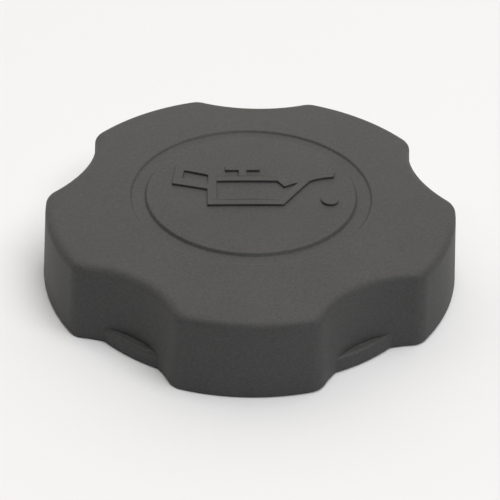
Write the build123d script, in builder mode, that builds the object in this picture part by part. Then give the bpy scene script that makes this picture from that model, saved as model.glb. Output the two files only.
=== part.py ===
# Oil filler cap: a five-lobed moulded grip with a bayonet spigot inside its skirt, and a flat rubber seal.
# Millimetres. The origin is the middle of the foot the cap stands on, and +Z points up out of its top.

import os
from math import cos, radians, sin, tan

from build123d import *

# Bayonet spigot, sized to the filler neck it turns into
spigot_radius = 18.6
spigot_wall = 2.4
spigot_draft = 1.0  # degrees, inside face
spigot_foot_gap = 1.0  # the spigot ends this far above the foot
spigot_edge_radius = 0.6
lug_count = 2
lug_reach = 2.4
lug_height = 3.2  # halfway along the ramp
lug_arc = 54.0  # degrees
lug_ramp = 3.5  # degrees, slope of the face that pulls the cap down
lug_edge_radius = 0.6

# Rubber seal, which goes on over the lugs and sits round a low rib on the ceiling of the skirt
lug_clearance = 0.2
seal_rib_width = 1.2
seal_rib_height = 1.5
seal_clearance = 0.1
seal_width = 4.1
seal_thickness = 2.4
seal_edge_radius = 0.4
seal_margin = 1.4  # seal to the skirt

# Moulded walls
wall = 2.5
top_wall = 3.0
cavity_root_radius = 0.8
cavity_corner_margin = 0.7  # upright corners of the hollow are rounder than its root by this much

# Grip
lobe_count = 5
grip_height = 15.0  # foot to the middle of the crowned top
lobe_rise = 4.35  # lobe faces stand this far out from the scallops at the foot
lobe_draft = 4.4  # degrees
crown_height = 1.7  # the top falls this much from its middle to the lobes
scallop_radius = 17.9  # at the foot
scallop_draft = 3.7  # degrees
top_edge_radius = 1.6
corner_margin = 1.7  # upright corners are rounder than the edges across their tops by this much
foot_edge_radius = 0.6

# Round collar that closes the foot of each scallop
collar_step = 1.25  # beyond the scallop at its deepest
collar_height = 2.9
collar_edge_radius = 0.5

# Ring groove round the plain disc on the top
groove_radius = 18.45  # middle of the groove
groove_width = 2.78  # at the top
groove_depth = 0.4
groove_inner_slope = 52.0  # degrees from level, edge of the disc
groove_outer_slope = 48.0  # degrees from level
groove_edge_radius = 0.25

# Gusset ribs, one inside each lobe
rib_width = 1.6
rib_gap = 0.4  # rib to the seal's side of the skirt
rib_foot = 3.0
rib_slope = 38.0  # degrees, lower edge

os.makedirs("parts", exist_ok=True)


# How far a wall leaning by so many degrees runs sideways over a height
def lean(height, angle):
    return height * tan(radians(angle))


# Sizes that follow from the ones above
ceiling = grip_height - top_wall
lug_tip = spigot_radius + lug_reach
seal_rib_radius = lug_tip + lug_clearance
seal_inner_radius = seal_rib_radius + seal_clearance
seal_outer_radius = seal_inner_radius + seal_width
skirt_radius = seal_outer_radius + seal_margin
scallop_floor = skirt_radius + wall + lean(ceiling, scallop_draft)
scallop_axis = scallop_floor + scallop_radius
foot_radius = scallop_floor + lobe_rise
edge_radius = foot_radius - lean(grip_height, lobe_draft)
crown_radius = (edge_radius**2 + crown_height**2) / (2 * crown_height)
collar_radius = scallop_floor + collar_step
corner_radius = top_edge_radius + corner_margin
cavity_corner_radius = cavity_root_radius + cavity_corner_margin
root = top_wall / 4  # what stands on the ceiling is joined this far into it

# Hollow inside the skirt, which follows the lobes at an even wall
with BuildPart() as cavity:
    cavity_radius = foot_radius - wall
    with BuildSketch(Plane.YZ):
        with BuildLine():
            Polyline(
                (0, 0),
                (cavity_radius, 0),
                (cavity_radius - lean(ceiling, lobe_draft), ceiling),
                (0, ceiling),
                close=True,
            )
        make_face()
    revolve(axis=Axis.Z)
    with PolarLocations(scallop_axis, lobe_count, start_angle=90):
        Cone(
            scallop_radius + wall,
            scallop_radius + wall + lean(ceiling, scallop_draft),
            ceiling,
            align=(Align.CENTER, Align.CENTER, Align.MIN),
            mode=Mode.SUBTRACT,
        )
    uprights = cavity.edges().filter_by(lambda edge: 0 < edge.center().Z < ceiling)
    fillet(uprights, cavity_corner_radius)
    fillet(cavity.faces().sort_by(Axis.Z)[-1].edges(), cavity_root_radius)

# One bayonet lug, ramped so that a clockwise turn pulls the cap down
with BuildPart() as lug:
    start = radians(-lug_arc / 2)
    end_plane = Plane(
        origin=(0, 0, 0),
        x_dir=(cos(start), sin(start), 0),
        z_dir=(sin(start), -cos(start), 0),
    )
    with BuildSketch(end_plane):
        with Locations((spigot_radius - spigot_wall / 2, spigot_foot_gap)):
            Rectangle(spigot_wall / 2 + lug_reach, 2 * lug_height, align=(Align.MIN, Align.MIN))
    revolve(axis=Axis.Z, revolution_arc=lug_arc)
    ramp = radians(lug_ramp)
    split(
        bisect_by=Plane(
            origin=(lug_tip, 0, spigot_foot_gap + lug_height),
            x_dir=(1, 0, 0),
            z_dir=(0, -sin(ramp), cos(ramp)),
        ),
        keep=Keep.BOTTOM,
    )
    tips = lug.edges().filter_by(Axis.Z).sort_by_distance((0, 0, 0))[-2:]
    fillet(tips, lug_edge_radius)

# One gusset rib, in the lobe that faces -Y
with BuildPart() as rib:
    rib_start = skirt_radius + rib_gap
    rib_end = foot_radius - wall / 2 - lean(ceiling, lobe_draft) / 2
    with BuildSketch(Plane.YZ):
        with BuildLine():
            Polyline(
                (-rib_start, ceiling + root),
                (-rib_start, rib_foot + lean(rib_end - rib_start, rib_slope)),
                (-rib_end, rib_foot),
                (-rib_end, ceiling + root),
                close=True,
            )
        make_face()
    extrude(amount=rib_width / 2, both=True)

# Cap body: one moulding
with BuildPart() as cap_body:
    # Drafted blank with its finger scallops
    with BuildSketch(Plane.YZ):
        with BuildLine():
            Polyline((0, 0), (foot_radius, 0), (edge_radius, grip_height), (0, grip_height), close=True)
        make_face()
    revolve(axis=Axis.Z)
    with PolarLocations(scallop_axis, lobe_count, start_angle=90):
        Cone(
            scallop_radius,
            scallop_radius + lean(grip_height, scallop_draft),
            grip_height,
            align=(Align.CENTER, Align.CENTER, Align.MIN),
            mode=Mode.SUBTRACT,
        )
    uprights = cap_body.edges().filter_by(lambda edge: 0 < edge.center().Z < grip_height)
    fillet(uprights, corner_radius)
    # Crowned top, then the soft top edge and the foot edge
    with Locations((0, 0, grip_height - crown_radius)):
        Sphere(crown_radius, rotation=(0, 90, 0), mode=Mode.INTERSECT)
    fillet(cap_body.faces().sort_by(Axis.Z)[-1].edges(), top_edge_radius)
    fillet(cap_body.faces().sort_by(Axis.Z)[0].edges(), foot_edge_radius)
    # Round collar, which shows only at the foot of the scallops
    with BuildSketch(Plane.YZ) as collar_profile:
        Rectangle(collar_radius, collar_height, align=(Align.MIN, Align.MIN))
        fillet(collar_profile.vertices().group_by(Axis.X)[-1].sort_by(Axis.Y)[-1], collar_edge_radius)
        fillet(collar_profile.vertices().group_by(Axis.Y)[0].sort_by(Axis.X)[-1], foot_edge_radius)
    revolve(axis=Axis.Z)
    # Ring groove with sloping sides, drawn up past the crowned top
    with BuildSketch(Plane.YZ):
        groove_top = grip_height - groove_radius**2 / (2 * crown_radius)
        groove_inside = groove_radius - groove_width / 2
        groove_outside = groove_radius + groove_width / 2
        inner_run = groove_depth / tan(radians(groove_inner_slope))
        outer_run = groove_depth / tan(radians(groove_outer_slope))
        with BuildLine():
            Polyline(
                (groove_inside - inner_run, groove_top + groove_depth),
                (groove_inside + inner_run, groove_top - groove_depth),
                (groove_outside - outer_run, groove_top - groove_depth),
                (groove_outside + outer_run, groove_top + groove_depth),
                close=True,
            )
        make_face()
    revolve(axis=Axis.Z, mode=Mode.SUBTRACT)
    rims = cap_body.edges().filter_by(GeomType.CIRCLE).group_by(Axis.Z)[-2:]
    fillet(rims[0] + rims[1], groove_edge_radius)
    # Hollow skirt
    add(cavity.part, mode=Mode.SUBTRACT)
    with PolarLocations(0, lobe_count):
        add(rib.part)
    # Hollow spigot with its lugs, and the rib the seal sits round
    with BuildSketch(Plane.XZ) as spigot_profile:
        spigot_inside = spigot_radius - spigot_wall
        with BuildLine():
            Polyline(
                (spigot_radius, spigot_foot_gap),
                (spigot_radius, ceiling + root),
                (spigot_inside - lean(ceiling + root - spigot_foot_gap, spigot_draft), ceiling + root),
                (spigot_inside, spigot_foot_gap),
                close=True,
            )
        make_face()
        fillet(spigot_profile.vertices().group_by(Axis.Y)[0], spigot_edge_radius)
    revolve(axis=Axis.Z)
    with PolarLocations(0, lug_count):
        add(lug.part)
    with BuildSketch(Plane.XY.offset(ceiling - seal_rib_height)):
        Circle(seal_rib_radius)
        Circle(seal_rib_radius - seal_rib_width, mode=Mode.SUBTRACT)
    extrude(amount=seal_rib_height + root)

# Seal, a plain flat ring
with BuildPart() as seal_ring:
    with BuildSketch(Plane.XZ) as seal_profile:
        with Locations((seal_inner_radius, ceiling - seal_thickness)):
            Rectangle(seal_width, seal_thickness, align=(Align.MIN, Align.MIN))
        fillet(seal_profile.vertices(), seal_edge_radius)
    revolve(axis=Axis.Z)

cap_body.part.label = "cap_body"
export_step(cap_body.part, "parts/cap_body.step")
seal_ring.part.label = "seal_ring"
export_step(seal_ring.part, "parts/seal_ring.step")
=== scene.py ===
import math

import bpy
from mathutils import Matrix, Vector


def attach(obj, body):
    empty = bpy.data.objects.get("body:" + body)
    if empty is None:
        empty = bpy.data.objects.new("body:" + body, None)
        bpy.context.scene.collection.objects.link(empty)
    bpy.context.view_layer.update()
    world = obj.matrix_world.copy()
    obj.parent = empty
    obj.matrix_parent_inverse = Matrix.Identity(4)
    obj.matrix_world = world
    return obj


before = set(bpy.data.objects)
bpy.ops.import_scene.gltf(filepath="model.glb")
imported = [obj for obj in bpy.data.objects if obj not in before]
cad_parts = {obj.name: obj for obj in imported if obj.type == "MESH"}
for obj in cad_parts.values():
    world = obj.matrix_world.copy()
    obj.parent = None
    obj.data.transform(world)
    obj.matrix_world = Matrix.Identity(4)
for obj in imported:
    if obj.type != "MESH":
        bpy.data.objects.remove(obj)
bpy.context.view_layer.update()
print("frame loaded:", sorted(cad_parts))

mm = 0.001  # in metres, Blender's unit


# sRGB hex to the linear colour a shader socket takes
def hexToLinear(code):
    parts = [int(code[i : i + 2], 16) / 255 for i in (1, 3, 5)]
    return [c / 12.92 if c <= 0.04045 else ((c + 0.055) / 1.055) ** 2.4 for c in parts] + [1.0]


# one node with its settings, its input values and the links that come into it
def addNode(tree, kind, at, settings=None, values=None, links=None):
    node = tree.nodes.new(kind)
    node.location = at
    for name, value in (settings or {}).items():
        setattr(node, name, value)
    for name, value in (values or {}).items():
        node.inputs[name].default_value = value
    for name, source in (links or {}).items():
        tree.links.new(source, node.inputs[name])
    return node


def newMaterial(name):
    material = bpy.data.materials.new(name)
    material.use_nodes = True
    material.node_tree.nodes.clear()
    return material


# Glass-filled nylon, injection moulded in a spark-eroded tool: a charcoal, matt skin with a fine even grain,
# a little cloudiness where the melt flowed, and a soft sheen at a low angle.
capPlastic = {
    "deep": "#3a3a3a",
    "pale": "#4b4b4b",
    "toneSpan": (0.3, 0.7),  # noise values at which the two colours stand
    "grainMm": 0.4,  # real grain is near 0.1 mm, drawn coarser so that it shows
    "grainDepthMm": 0.05,  # deeper by as much
    "grainStrength": 0.6,
    "grainShare": 0.6,  # the rest of the mottling is the cloudiness
    "cloudMm": 11.0,
    "roughness": (0.58, 0.67),  # follows the cloudiness
    "ior": 1.53,
    "specular": 0.33,  # an eroded skin shines less than a polished one
}


def mouldedNylon(look):
    material = newMaterial("moulded glass-filled nylon")
    tree = material.node_tree
    place = addNode(tree, "ShaderNodeTexCoord", (-1200, 0))
    cloud = addNode(
        tree,
        "ShaderNodeTexNoise",
        (-900, 250),
        values={"Scale": 1000 / look["cloudMm"], "Detail": 4.0, "Roughness": 0.6},
        links={"Vector": place.outputs["Object"]},
    )
    grain = addNode(
        tree,
        "ShaderNodeTexNoise",
        (-900, -250),
        values={"Scale": 1000 / look["grainMm"], "Detail": 2.0, "Roughness": 0.55},
        links={"Vector": place.outputs["Object"]},
    )
    blend = addNode(
        tree,
        "ShaderNodeMix",
        (-650, 150),
        {"data_type": "FLOAT"},
        {"Factor": look["grainShare"]},
        {"A": cloud.outputs["Fac"], "B": grain.outputs["Fac"]},
    )
    tone = addNode(tree, "ShaderNodeValToRGB", (-450, 250), links={"Fac": blend.outputs["Result"]})
    for stop, at, colour in zip(tone.color_ramp.elements, look["toneSpan"], (look["deep"], look["pale"])):
        stop.position = at
        stop.color = hexToLinear(colour)
    rough = addNode(
        tree,
        "ShaderNodeMapRange",
        (-450, -20),
        values={
            "From Min": look["toneSpan"][0],
            "From Max": look["toneSpan"][1],
            "To Min": look["roughness"][0],
            "To Max": look["roughness"][1],
        },
        links={"Value": cloud.outputs["Fac"]},
    )
    bump = addNode(
        tree,
        "ShaderNodeBump",
        (-450, -300),
        values={"Strength": look["grainStrength"], "Distance": look["grainDepthMm"] * mm},
        links={"Height": grain.outputs["Fac"]},
    )
    surface = addNode(
        tree,
        "ShaderNodeBsdfPrincipled",
        (-150, 100),
        values={"IOR": look["ior"], "Specular IOR Level": look["specular"]},
        links={
            "Base Color": tone.outputs["Color"],
            "Roughness": rough.outputs["Result"],
            "Normal": bump.outputs["Normal"],
        },
    )
    addNode(tree, "ShaderNodeOutputMaterial", (150, 100), links={"Surface": surface.outputs["BSDF"]})
    return material


# Nitrile rubber, compression moulded: near black, satin, with a faint dusty bloom.
sealRubber = {
    "deep": "#1d1d1e",
    "pale": "#272728",
    "toneSpan": (0.35, 0.75),
    "bloomMm": 5.0,
    "grainMm": 0.5,  # drawn coarser too
    "grainDepthMm": 0.01,
    "grainStrength": 0.5,
    "roughness": 0.55,
    "ior": 1.52,
}


def mouldedRubber(look):
    material = newMaterial("moulded nitrile rubber")
    tree = material.node_tree
    place = addNode(tree, "ShaderNodeTexCoord", (-900, 0))
    bloom = addNode(
        tree,
        "ShaderNodeTexNoise",
        (-700, 200),
        values={"Scale": 1000 / look["bloomMm"], "Detail": 5.0},
        links={"Vector": place.outputs["Object"]},
    )
    grain = addNode(
        tree,
        "ShaderNodeTexNoise",
        (-700, -200),
        values={"Scale": 1000 / look["grainMm"], "Detail": 2.0},
        links={"Vector": place.outputs["Object"]},
    )
    tone = addNode(tree, "ShaderNodeValToRGB", (-450, 200), links={"Fac": bloom.outputs["Fac"]})
    for stop, at, colour in zip(tone.color_ramp.elements, look["toneSpan"], (look["deep"], look["pale"])):
        stop.position = at
        stop.color = hexToLinear(colour)
    bump = addNode(
        tree,
        "ShaderNodeBump",
        (-450, -200),
        values={"Strength": look["grainStrength"], "Distance": look["grainDepthMm"] * mm},
        links={"Height": grain.outputs["Fac"]},
    )
    surface = addNode(
        tree,
        "ShaderNodeBsdfPrincipled",
        (-150, 100),
        values={"IOR": look["ior"], "Roughness": look["roughness"]},
        links={"Base Color": tone.outputs["Color"], "Normal": bump.outputs["Normal"]},
    )
    addNode(tree, "ShaderNodeOutputMaterial", (150, 100), links={"Surface": surface.outputs["BSDF"]})
    return material


nylon = mouldedNylon(capPlastic)
rubber = mouldedRubber(sealRubber)


def dress(piece, material):
    piece.data.materials.clear()
    piece.data.materials.append(material)


dress(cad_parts["cap_body"], nylon)
dress(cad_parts["seal_ring"], rubber)
print("materials on the moulding and the seal")

# Raised sign on the disc: an oil can with a drop, drawn in mm about the cap's axis before its small turn
sign = {
    "height": 0.4,
    "bury": 0.3,  # runs this far down into the top
    "edge": 0.1,
    "edgeSteps": 2,
    "turn": 2.3,  # degrees, as it sits on the cap
    "step": 0.5,  # longest run between points, so that it follows the crown
    "stroke": 1.5,
    "bodyLeft": -7.15,
    "bodyRight": 5.1,
    "bodyFoot": -4.6,
    "bodyTop": 3.8,
    "bodyShoulder": 4.85,
    "spoutNotch": (5.7, 2.45),
    "spoutRise": (9.0, 4.25),
    "spoutBow": (11.2, 5.2),
    "spoutLip": (14.1, 5.5),
    "spoutTip": (13.8, 3.95),
    "spoutCrook": (10.7, 3.4),
    "spoutKnee": (9.55, 2.2),
    "hollowNotch": (5.4, 0.6),
    "hollowTip": (7.8, 1.95),
    "plateMiddle": -1.3,
    "plateHalf": 2.85,
    "plateFoot": 5.55,
    "stemHalf": 0.65,
    "gripEnd": [(-5.55, 5.2), (-12.3, 7.9), (-12.9, 1.85), (-7.15, -0.05)],
    "gripHollow": [(-10.95, 5.75), (-7.0, 4.15), (-7.0, 1.7), (-11.25, 3.3)],
    "dropMiddle": (12.65, -2.9),
    "dropRadius": 1.4,
    "dropTip": (12.85, 0.05),
}
top = {"height": 15.0, "crownRadius": 326.4}  # mm, as the moulding is


# points on a curve from start to end that bends towards its control point
def bend(start, control, end, parts=6):
    a, b, c = Vector(start), Vector(control), Vector(end)
    turns = [i / parts for i in range(parts + 1)]
    return [tuple(a * (1 - t) ** 2 + b * 2 * t * (1 - t) + c * t * t) for t in turns]


def canOutline(look):
    left, right, foot, crest = look["bodyLeft"], look["bodyRight"], look["bodyFoot"], look["bodyTop"]
    stemLeft, stemRight = look["plateMiddle"] - look["stemHalf"], look["plateMiddle"] + look["stemHalf"]
    plateLeft, plateRight = look["plateMiddle"] - look["plateHalf"], look["plateMiddle"] + look["plateHalf"]
    plateFoot, plateTop = look["plateFoot"], look["plateFoot"] + look["stroke"]
    spoutUnder = bend(look["spoutKnee"], look["spoutCrook"], look["spoutTip"])
    spoutOver = bend(look["spoutLip"], look["spoutBow"], look["spoutRise"])
    plate = [(stemRight, crest), (stemRight, plateFoot), (plateRight, plateFoot), (plateRight, plateTop)]
    plate += [(plateLeft, plateTop), (plateLeft, plateFoot), (stemLeft, plateFoot), (stemLeft, crest)]
    shoulder = [look["spoutNotch"], (look["bodyShoulder"], crest)]
    grip = [(look["gripEnd"][0][0], crest)] + look["gripEnd"]
    return [(left, foot), (right, foot)] + spoutUnder + spoutOver + shoulder + plate + grip


def canHollow(look):
    stroke = look["stroke"]
    left, right = look["bodyLeft"] + stroke, look["bodyRight"] - stroke / 2
    foot, crest = look["bodyFoot"] + stroke, look["bodyTop"] - stroke
    spout = [look["hollowNotch"], look["hollowTip"]]
    return [(left, crest), (right, crest)] + spout + [(right, foot), (left, foot)]


# round at the foot, with straight sides that run off the round to the tip
def dropOutline(middle, radius, tip, parts=24):
    away = Vector(tip) - Vector(middle)
    lean = math.atan2(away.y, away.x)
    spread = math.acos(radius / away.length)
    turns = [lean + spread + (2 * math.pi - 2 * spread) * i / parts for i in range(parts + 1)]
    return [(middle[0] + radius * math.cos(a), middle[1] + radius * math.sin(a)) for a in turns] + [tip]


# the same outline with more points along its sides
def finePoints(corners, step):
    fine = []
    for a, b in zip(corners, corners[1:] + corners[:1]):
        a, b = Vector(a), Vector(b)
        parts = max(1, math.ceil((b - a).length / step))
        fine += [a.lerp(b, i / parts) for i in range(parts)]
    return fine


def makeSign(look):
    curve = bpy.data.curves.new("oil_can_sign", "CURVE")
    curve.dimensions = "2D"
    curve.fill_mode = "BOTH"
    # half of the thickness and the round edge, drawn inwards so that the outline keeps its size
    curve.extrude = (look["height"] + look["bury"]) / 2 * mm - look["edge"] * mm
    curve.bevel_depth = look["edge"] * mm
    curve.bevel_resolution = look["edgeSteps"]
    curve.offset = -look["edge"] * mm
    outlines = [
        canOutline(look),
        canHollow(look),
        look["gripHollow"],
        dropOutline(look["dropMiddle"], look["dropRadius"], look["dropTip"]),
    ]
    for corners in outlines:
        points = finePoints(corners, look["step"])
        spline = curve.splines.new("POLY")
        spline.points.add(len(points) - 1)
        for point, place in zip(spline.points, points):
            point.co = (place.x * mm, place.y * mm, 0, 1)
        spline.use_cyclic_u = True
    drawn = bpy.data.objects.new("sign drawing", curve)
    bpy.context.scene.collection.objects.link(drawn)
    bpy.context.view_layer.update()
    mesh = bpy.data.meshes.new_from_object(drawn.evaluated_get(bpy.context.evaluated_depsgraph_get()))
    bpy.data.objects.remove(drawn)
    mesh.name = "oil_can_sign"
    mesh.transform(Matrix.Rotation(math.radians(look["turn"]), 4, "Z"))
    # laid on the crowned top, which falls away from the axis
    middle = top["height"] + (look["height"] - look["bury"]) / 2
    for vertex in mesh.vertices:
        reach = (vertex.co.x**2 + vertex.co.y**2) / (mm * mm)
        vertex.co.z += (middle - reach / (2 * top["crownRadius"])) * mm
    piece = bpy.data.objects.new("oil_can_sign", mesh)
    bpy.context.scene.collection.objects.link(piece)
    return piece


signPiece = makeSign(sign)
dress(signPiece, nylon)
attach(signPiece, "root")
print("sign raised:", len(signPiece.data.polygons), "faces")

# White card on the floor, a pale wall high up behind and one softbox up in front on the right.
# The rest of the room is dim, so that the walls of the cap stay darker than its top.
studio = {
    "floorColour": "#e7e8ea",
    "floorHalf": 3.0,
    "wallColour": "#fff8ee",
    "wallTowards": (-0.1, 0.77, 0.62),
    "wallSpread": (0.31, 0.7),  # the wall fades out between these cosines from its middle
    "wallStrength": 1.0,
    "roomStrength": 0.015,
    "boxTowards": (0.28, -0.22, 1.0),
    "boxDistance": 2.8,
    "boxSize": (2.1, 2.9),
    "boxWatts": 71.0,
}


def makeFloor(look):
    half = look["floorHalf"]
    corners = [(-half, -half, 0), (half, -half, 0), (half, half, 0), (-half, half, 0)]
    mesh = bpy.data.meshes.new("floor")
    mesh.from_pydata(corners, [], [(0, 1, 2, 3)])
    floor = bpy.data.objects.new("floor", mesh)
    bpy.context.scene.collection.objects.link(floor)
    material = newMaterial("matt white card")
    tree = material.node_tree
    colour = hexToLinear(look["floorColour"])
    card = addNode(tree, "ShaderNodeBsdfDiffuse", (-150, 0), values={"Color": colour})
    addNode(tree, "ShaderNodeOutputMaterial", (100, 0), links={"Surface": card.outputs["BSDF"]})
    dress(floor, material)


def makeWorld(look):
    world = bpy.data.worlds.new("studio")
    bpy.context.scene.world = world
    world.use_nodes = True
    tree = world.node_tree
    tree.nodes.clear()
    place = addNode(tree, "ShaderNodeTexCoord", (-800, 0))
    towards = addNode(
        tree,
        "ShaderNodeVectorMath",
        (-600, 0),
        {"operation": "DOT_PRODUCT"},
        {1: Vector(look["wallTowards"]).normalized()},
        {0: place.outputs["Generated"]},
    )
    fade = addNode(
        tree,
        "ShaderNodeMapRange",
        (-400, 0),
        {"interpolation_type": "SMOOTHSTEP"},
        {
            "From Min": look["wallSpread"][0],
            "From Max": look["wallSpread"][1],
            "To Min": look["roomStrength"],
            "To Max": look["wallStrength"],
        },
        {"Value": towards.outputs["Value"]},
    )
    wall = addNode(
        tree,
        "ShaderNodeBackground",
        (-150, 0),
        values={"Color": hexToLinear(look["wallColour"])},
        links={"Strength": fade.outputs["Result"]},
    )
    addNode(tree, "ShaderNodeOutputWorld", (50, 0), links={"Surface": wall.outputs["Background"]})


def makeSoftbox(look):
    light = bpy.data.lights.new("softbox", "AREA")
    light.shape = "RECTANGLE"
    light.size, light.size_y = look["boxSize"]
    light.energy = look["boxWatts"]
    lamp = bpy.data.objects.new("softbox", light)
    towards = Vector(look["boxTowards"]).normalized()
    lamp.location = towards * look["boxDistance"]
    lamp.rotation_mode = "QUATERNION"
    lamp.rotation_quaternion = towards.to_track_quat("Z", "Y")
    bpy.context.scene.collection.objects.link(lamp)


makeFloor(studio)
makeWorld(studio)
makeSoftbox(studio)
print("studio lit")

# Camera where the photograph was taken from, worked out from the outline and the ring groove
shot = {
    "elevation": 34.68,  # degrees
    "distanceMm": 264.1,
    "focalPixels": 1593.7,
    "framePixels": 500,
    "sensorMm": 36.0,
    "clip": (0.01, 20.0),  # metres
    "aimMm": (0, 0, 7.5),
    "aimPixels": (250.3, 227.81),  # where that point falls in the picture
    "roll": 1.32,  # degrees, right side down
}


def makeCamera(look):
    camera = bpy.data.cameras.new("camera")
    camera.sensor_width = look["sensorMm"]
    camera.lens = look["sensorMm"] * look["focalPixels"] / look["framePixels"]
    camera.clip_start, camera.clip_end = look["clip"]
    rise = math.radians(look["elevation"])
    back = Vector((0, -math.cos(rise), math.sin(rise)))
    piece = bpy.data.objects.new("camera", camera)
    piece.location = Vector(look["aimMm"]) * mm + back * look["distanceMm"] * mm
    roll = Matrix.Rotation(math.radians(look["roll"]), 3, "Z")
    turn = back.to_track_quat("Z", "Y") @ roll.to_quaternion()
    # tip the view so that the aim point falls off the middle of the picture as it does in the photograph
    sideways = (look["aimPixels"][0] - look["framePixels"] / 2) / look["focalPixels"]
    upward = (look["framePixels"] / 2 - look["aimPixels"][1]) / look["focalPixels"]
    tip = Matrix.Rotation(-math.atan(upward), 3, "X") @ Matrix.Rotation(math.atan(sideways), 3, "Y")
    piece.rotation_mode = "QUATERNION"
    piece.rotation_quaternion = turn @ tip.to_quaternion()
    bpy.context.scene.collection.objects.link(piece)
    bpy.context.scene.camera = piece


makeCamera(shot)
bpy.context.scene.view_settings.view_transform = "Standard"
